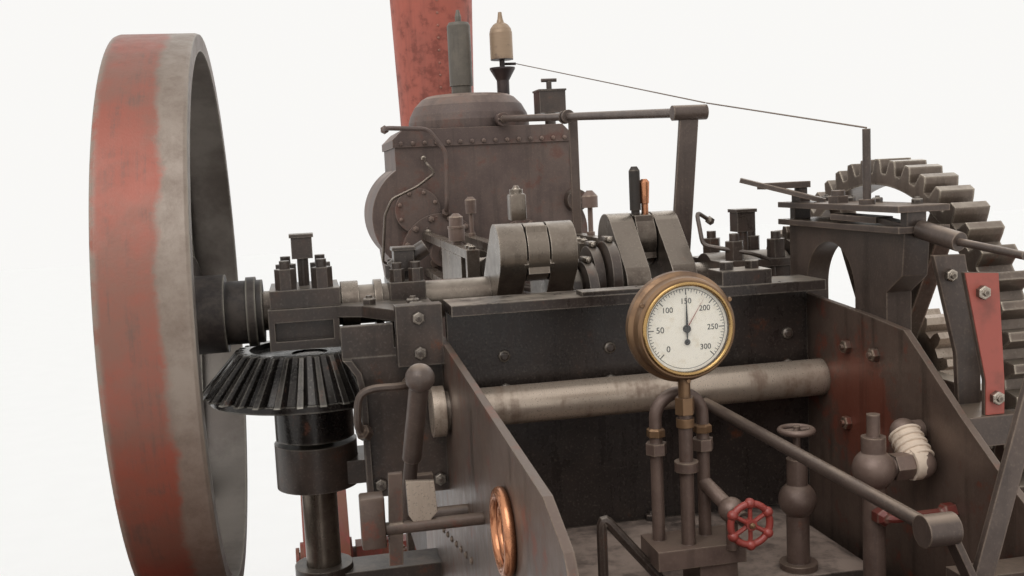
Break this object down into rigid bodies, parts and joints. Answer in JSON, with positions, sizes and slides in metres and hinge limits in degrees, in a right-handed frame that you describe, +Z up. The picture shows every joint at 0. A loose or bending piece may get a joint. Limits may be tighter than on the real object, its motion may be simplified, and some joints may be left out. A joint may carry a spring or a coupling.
{
  "type": "steam traction engine",
  "caption": "Steam winding traction engine: boiler, open cranks and gears, flywheel, steered axle, straked wheels and a drum under the boiler.",
  "frame": {"origin": "on the ground under the middle of the length and width", "axes": "+Y forward, +X to the right, +Z up"},
  "size_m": [2.896, 6.3, 3.88],
  "materials": {
    "boiler_black": "worn black-brown paint",
    "smokebox_black": "heat-dulled black",
    "cast_dark": "oily dark casting",
    "red_oxide": "matt red oxide",
    "cylinder_brown": "purple-brown paint",
    "grey_green": "grey-green",
    "whistle_brass": "dull brass",
    "bright_steel": "bright worn steel",
    "oily_steel": "oily steel",
    "flywheel_paint": "worn red-brown paint",
    "horn_brown": "brown paint",
    "gear_iron": "worn gear iron",
    "greased_iron": "greased",
    "wheel_red": "dull red",
    "chain_steel": "rusty chain",
    "tender_red": "dull red-brown",
    "gauge_brass": "aged brass",
    "fitting_tan": "tan gunmetal"
  },
  "bodies": {
    "engine": {"boiler_barrel": "boiler_black", "firebox": "boiler_black", "smokebox": "smokebox_black", "chimney": "red_oxide", "cylinder_block": "cylinder_brown", "safety_valve": "grey_green", "whistle": "whistle_brass", "lubricator": "cast_dark", "slide_bars": "bright_steel", "crossheads": "bright_steel", "valve_gear": "oily_steel", "crossplate": "cast_dark", "hornplates": "horn_brown", "bearing_bracket": "cast_dark", "crank_bearings": "cast_dark", "gear_change_stand": "cast_dark", "rear_axle": "cast_dark", "perch_bracket": "cast_dark", "steering_gear": "cast_dark", "steering_chains": "chain_steel", "drum_bracket": "cast_dark", "tender": "tender_red", "drawbar": "cast_dark", "pressure_gauge": "gauge_brass", "backhead_fittings": "fitting_tan", "control_levers": "oily_steel", "regulator_gear": "oily_steel"},
    "crank": {"crankshaft": "bright_steel", "flywheel": "flywheel_paint"},
    "low_rod": {"low_pressure_rod": "oily_steel"},
    "high_rod": {"high_pressure_rod": "oily_steel"},
    "second_motion": {"second_shaft": "bright_steel", "spur_gear": "gear_iron"},
    "third_motion": {"third_shaft": "gear_iron"},
    "rear_wheel_l": {"rear_wheel_left": "wheel_red"},
    "rear_wheel_r": {"rear_wheel_right": "wheel_red", "axle_gear": "gear_iron"},
    "front_axle": {"front_axle": "cast_dark"},
    "front_wheel_l": {"front_wheel_left": "wheel_red"},
    "front_wheel_r": {"front_wheel_right": "wheel_red"},
    "upright": {"vertical_shaft": "oily_steel", "bevel_gear": "greased_iron"},
    "idler": {"idler_gear": "gear_iron"},
    "drum": {"winding_drum": "gear_iron"},
    "smokebox_door": {"smokebox_door": "smokebox_black"},
    "firehole_door": {"firehole_door": "cast_dark"}
  },
  "joints": [
    {"name": "crank_spin", "type": "hinge", "parent": "engine", "child": "crank", "pos_m": [0, -0.65, 2.45], "axis": [1, 0, 0], "continuous": true},
    {"name": "low_rod_swing", "type": "hinge", "parent": "crank", "child": "low_rod", "pos_m": [-0.2, -0.76667, 2.56667], "axis": [1, 0, 0], "continuous": true},
    {"name": "high_rod_swing", "type": "hinge", "parent": "crank", "child": "high_rod", "pos_m": [0.16, -0.53333, 2.56667], "axis": [1, 0, 0], "continuous": true},
    {"name": "second_motion_spin", "type": "hinge", "parent": "engine", "child": "second_motion", "pos_m": [0.6, -1.02, 2.235], "axis": [1, 0, 0], "continuous": true},
    {"name": "third_motion_spin", "type": "hinge", "parent": "engine", "child": "third_motion", "pos_m": [0.7, -1.21751, 1.59477], "axis": [1, 0, 0], "continuous": true},
    {"name": "rear_wheel_left_spin", "type": "hinge", "parent": "engine", "child": "rear_wheel_l", "pos_m": [-1.185, -1.57, 0.99], "axis": [1, 0, 0], "continuous": true},
    {"name": "rear_wheel_right_spin", "type": "hinge", "parent": "engine", "child": "rear_wheel_r", "pos_m": [1.185, -1.57, 0.99], "axis": [1, 0, 0], "continuous": true},
    {"name": "steering", "type": "hinge", "parent": "engine", "child": "front_axle", "pos_m": [0, 2.5, 0.65], "axis": [0, 0, 1], "range_deg": [-20, 20]},
    {"name": "front_wheel_left_spin", "type": "hinge", "parent": "front_axle", "child": "front_wheel_l", "pos_m": [-0.756, 2.5, 0.65], "axis": [1, 0, 0], "continuous": true},
    {"name": "front_wheel_right_spin", "type": "hinge", "parent": "front_axle", "child": "front_wheel_r", "pos_m": [0.756, 2.5, 0.65], "axis": [1, 0, 0], "continuous": true},
    {"name": "drum_spin", "type": "hinge", "parent": "engine", "child": "drum", "pos_m": [0, 0.32, 0.6], "axis": [0, 0, 1], "continuous": true},
    {"name": "idler_spin", "type": "hinge", "parent": "engine", "child": "idler", "pos_m": [-0.71029, -0.32582, 0.5], "axis": [0, 0, 1], "continuous": true},
    {"name": "vertical_shaft_spin", "type": "hinge", "parent": "engine", "child": "upright", "pos_m": [-0.772, -0.65, 1.5], "axis": [0, 0, 1], "continuous": true},
    {"name": "smokebox_door_hinge", "type": "hinge", "parent": "engine", "child": "smokebox_door", "pos_m": [-0.425, 2.798, 1.445], "axis": [0, 0, 1], "range_deg": [0, 90]},
    {"name": "firehole_door_hinge", "type": "hinge", "parent": "engine", "child": "firehole_door", "pos_m": [-0.22, -1.44, 1.5], "axis": [0, 0, -1], "range_deg": [0, 110]}
  ],
  "couplings": [
    {"joint": "low_rod_swing", "follows": "crank_spin", "ratio": -1},
    {"joint": "high_rod_swing", "follows": "crank_spin", "ratio": -1},
    {"joint": "third_motion_spin", "follows": "second_motion_spin", "ratio": -0.24074},
    {"joint": "rear_wheel_right_spin", "follows": "second_motion_spin", "ratio": 0.065657},
    {"joint": "idler_spin", "follows": "drum_spin", "ratio": -3.8},
    {"joint": "vertical_shaft_spin", "follows": "drum_spin", "ratio": 5.8462}
  ]
}
